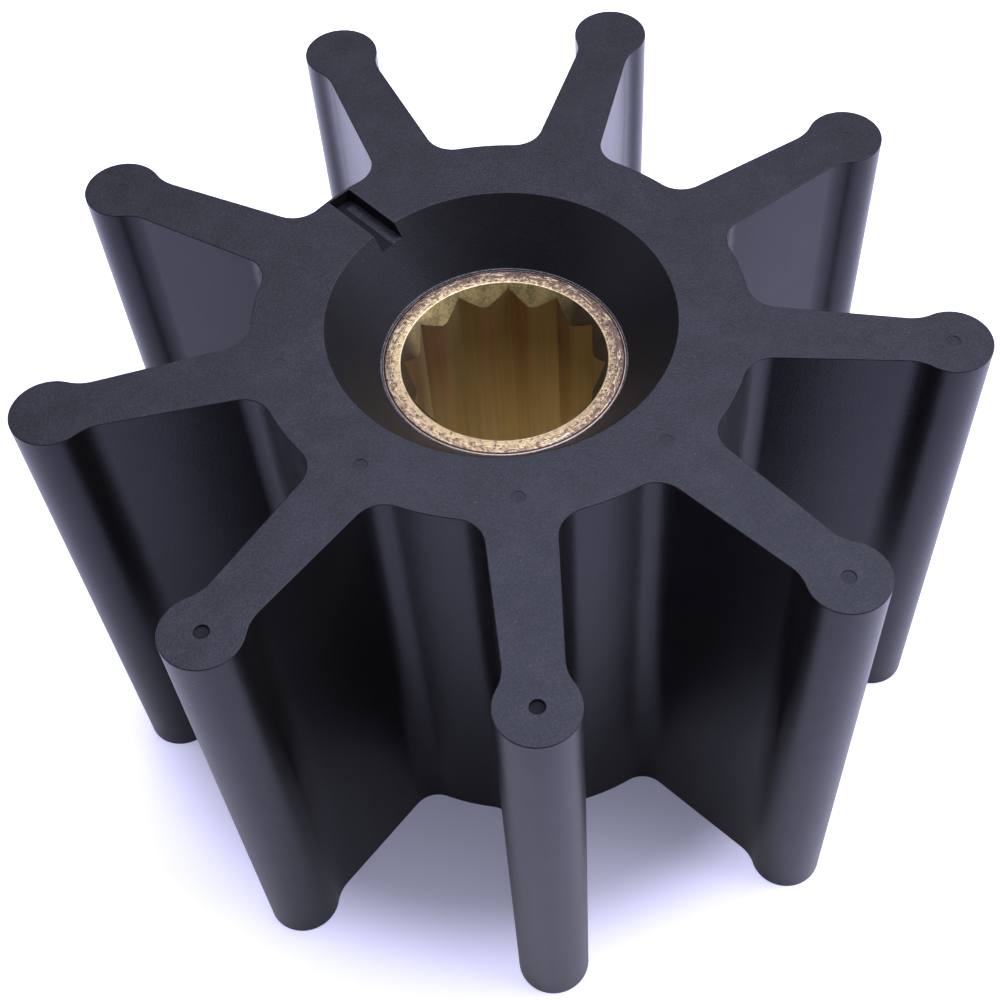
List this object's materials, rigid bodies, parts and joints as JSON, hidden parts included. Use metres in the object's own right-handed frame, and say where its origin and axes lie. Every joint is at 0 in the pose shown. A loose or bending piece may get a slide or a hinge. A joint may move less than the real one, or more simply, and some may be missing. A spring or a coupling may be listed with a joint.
{
  "type": "rubber pump impeller",
  "caption": "Flexible-vane pump impeller: a moulded rubber hub with straight radial vanes ending in round beads, bonded round a splined brass bush.",
  "frame": {"origin": "where the shaft axis meets the plane of the lower end face", "axes": "+Z along the shaft axis from the plain lower face to the recessed upper face; one vane points along -Y"},
  "size_m": [0.0814, 0.0802, 0.0508],
  "materials": {
    "moulded_rubber": "matte moulded",
    "turned_brass": "machined, slightly tarnished"
  },
  "bodies": {
    "root": {"rubber_body": "moulded_rubber", "splined_bush": "turned_brass"}
  },
  "joints": []
}
